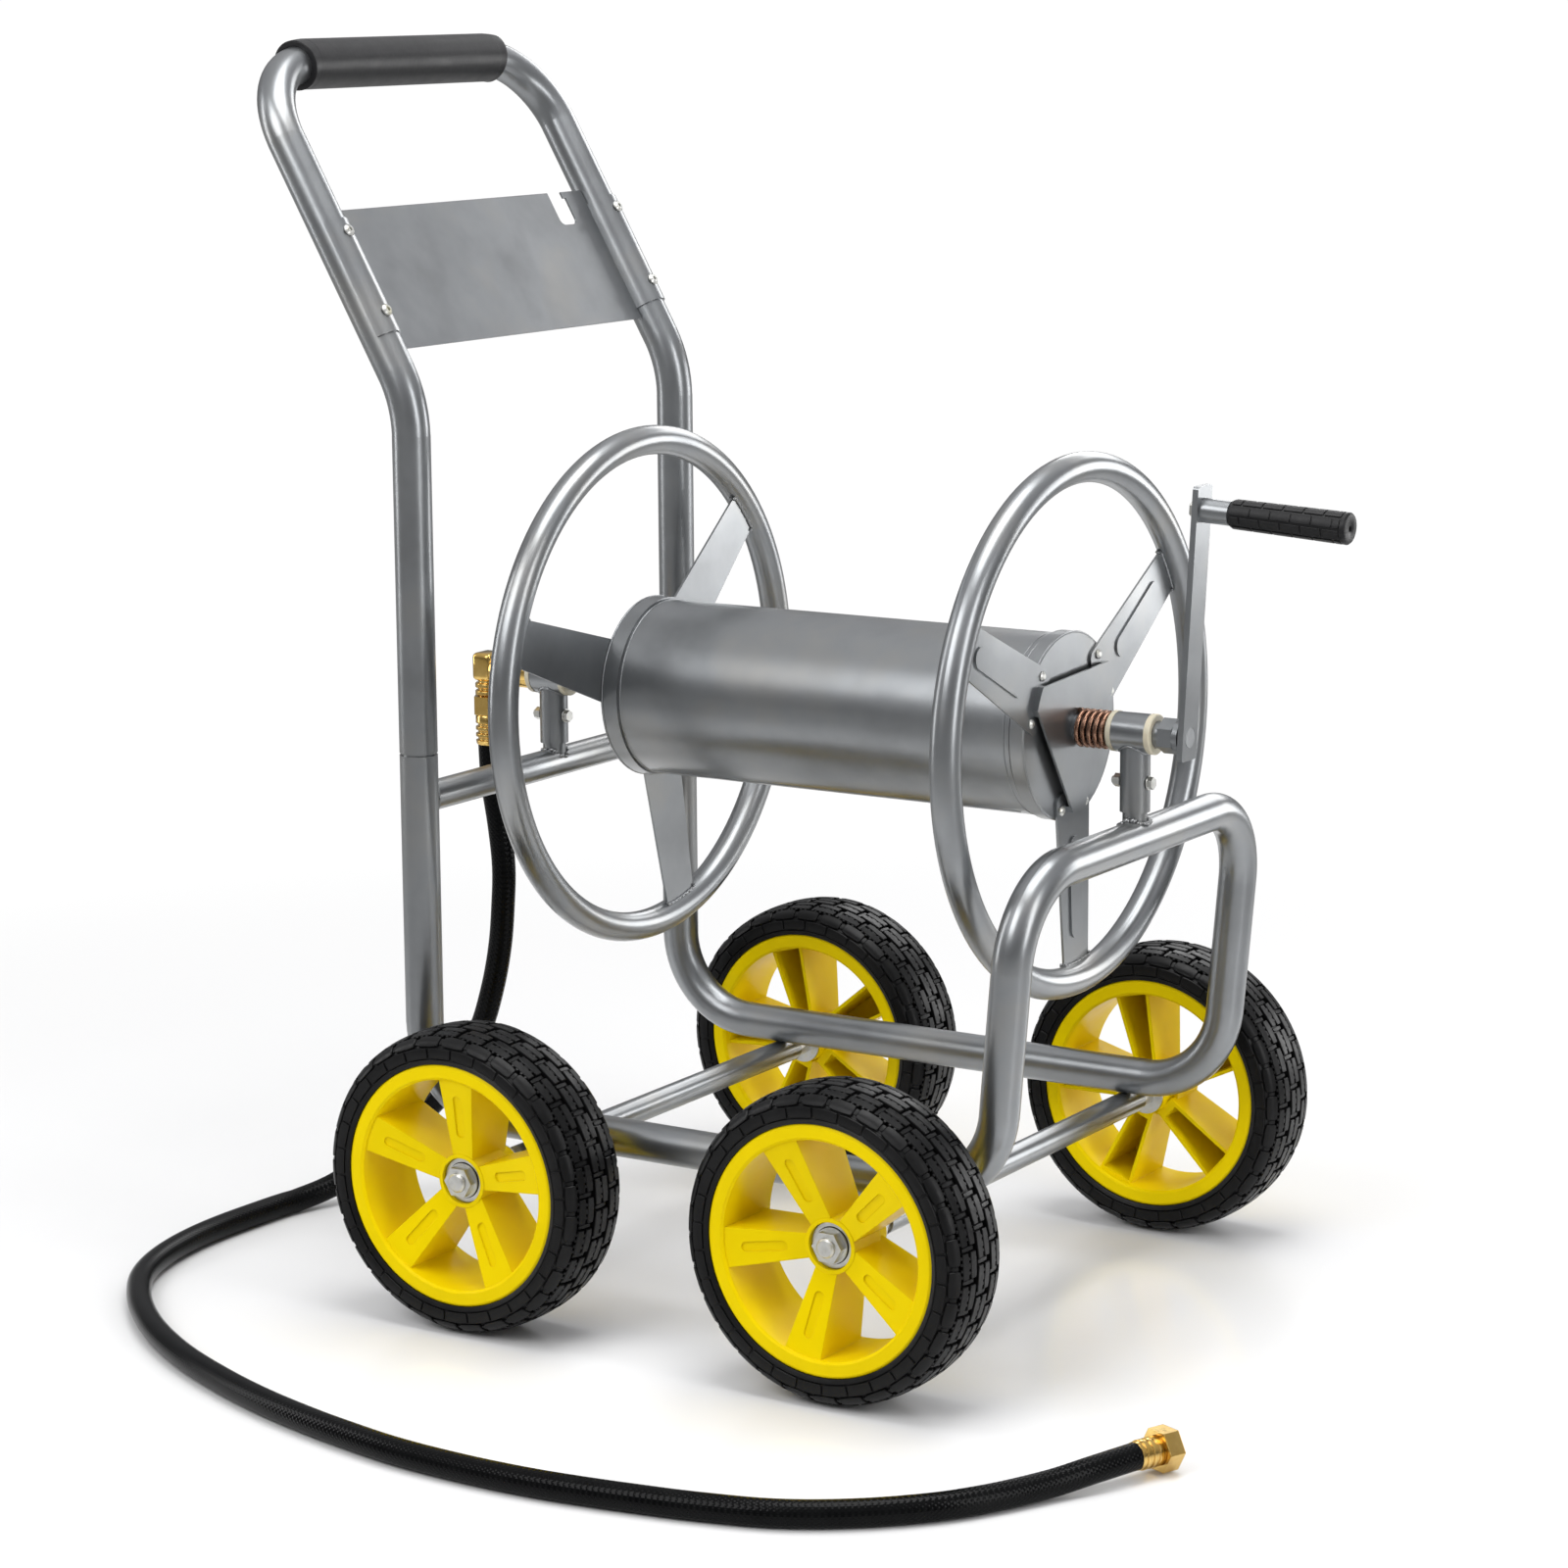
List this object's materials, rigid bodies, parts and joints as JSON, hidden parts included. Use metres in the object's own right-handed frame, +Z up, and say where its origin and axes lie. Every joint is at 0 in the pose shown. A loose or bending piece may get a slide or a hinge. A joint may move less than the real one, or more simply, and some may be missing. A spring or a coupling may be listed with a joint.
{
  "type": "garden hose reel cart",
  "caption": "Four-wheeled push cart with a tubular metal frame, foam handle and hand-cranked garden hose reel with an inlet hose.",
  "frame": {"origin": "on the ground at the middle of the cart's bounding box, midway between the side tubes", "axes": "+X towards the crank and front loop, -X towards the push handle, +Y towards the side away from the hose run, +Z up"},
  "size_m": [1.0124, 0.9042, 1.0423],
  "materials": {
    "silver_paint": "metallic silver-grey powder coat, satin gloss",
    "zinc": "bright zinc plate",
    "brass": "plain machined brass",
    "tyre_rubber": "black moulded rubber",
    "yellow_plastic": "moulded yellow plastic",
    "foam": "black foam sleeve",
    "grip_rubber": "black rubber with moulded ribs",
    "hose_rubber": "black garden hose",
    "nylon": "cream nylon",
    "copper_wire": "copper coloured spring wire"
  },
  "bodies": {
    "cart": {"near_side_tube": "silver_paint", "far_side_tube": "silver_paint", "front_loop": "silver_paint", "handle_tube": "silver_paint", "joint_sleeve": "silver_paint", "cross_bar": "silver_paint", "foam_grip": "foam", "back_plate": "silver_paint", "plate_screw": "zinc", "rear_axle_sleeve": "silver_paint", "front_axle_sleeve": "silver_paint", "rear_axle": "zinc", "front_axle": "zinc", "wheel_washer": "zinc", "lock_nut": "zinc", "front_bearing": "silver_paint", "rear_bearing": "silver_paint", "front_stub": "silver_paint", "rear_stub": "silver_paint", "bearing_bolt": "zinc", "bearing_nut": "zinc", "bearing_bush": "nylon", "inlet_elbow": "brass", "inlet_nut": "brass", "inlet_ferrule": "brass", "hose": "hose_rubber", "hose_ferrule": "brass"},
    "reel": {"drum_shell": "silver_paint", "drum_front_disc": "silver_paint", "drum_rear_cap": "silver_paint", "front_ring": "silver_paint", "rear_ring": "silver_paint", "front_arms": "silver_paint", "rear_arms": "silver_paint", "front_bracket": "silver_paint", "rear_bracket": "silver_paint", "arm_rivet": "zinc", "front_shaft": "silver_paint", "water_tube": "silver_paint", "outlet_elbow": "brass", "outlet_nipple": "brass", "drag_spring": "copper_wire", "crank_hub": "silver_paint", "crank_arm": "silver_paint", "crank_pin": "zinc", "crank_spacer": "silver_paint"},
    "grip": {"crank_grip": "grip_rubber"},
    "near_rear_wheel": {"near_rear_tyre": "tyre_rubber", "near_rear_hub": "yellow_plastic"},
    "near_front_wheel": {"near_front_tyre": "tyre_rubber", "near_front_hub": "yellow_plastic"},
    "far_rear_wheel": {"far_rear_tyre": "tyre_rubber", "far_rear_hub": "yellow_plastic"},
    "far_front_wheel": {"far_front_tyre": "tyre_rubber", "far_front_hub": "yellow_plastic"},
    "hose_nut": {"swivel_nut": "brass"}
  },
  "joints": [
    {"name": "reel_spin", "type": "hinge", "parent": "cart", "child": "reel", "pos_m": [0, 0, 0.495], "axis": [1, 0, 0], "continuous": true},
    {"name": "grip_spin", "type": "hinge", "parent": "reel", "child": "grip", "pos_m": [0.33502, 0, 0.67771], "axis": [0.9984, 0, -0.0558], "continuous": true},
    {"name": "near_rear_wheel_spin", "type": "hinge", "parent": "cart", "child": "near_rear_wheel", "pos_m": [-0.184, -0.274, 0.127], "axis": [0, 1, 0], "continuous": true},
    {"name": "near_front_wheel_spin", "type": "hinge", "parent": "cart", "child": "near_front_wheel", "pos_m": [0.169, -0.274, 0.127], "axis": [0, 1, 0], "continuous": true},
    {"name": "far_rear_wheel_spin", "type": "hinge", "parent": "cart", "child": "far_rear_wheel", "pos_m": [-0.184, 0.274, 0.127], "axis": [0, 1, 0], "continuous": true},
    {"name": "far_front_wheel_spin", "type": "hinge", "parent": "cart", "child": "far_front_wheel", "pos_m": [0.169, 0.274, 0.127], "axis": [0, 1, 0], "continuous": true},
    {"name": "hose_nut_spin", "type": "hinge", "parent": "cart", "child": "hose_nut", "pos_m": [0.46011, -0.29597, 0.0176], "axis": [0.3746, 0.9272, 0], "continuous": true}
  ]
}
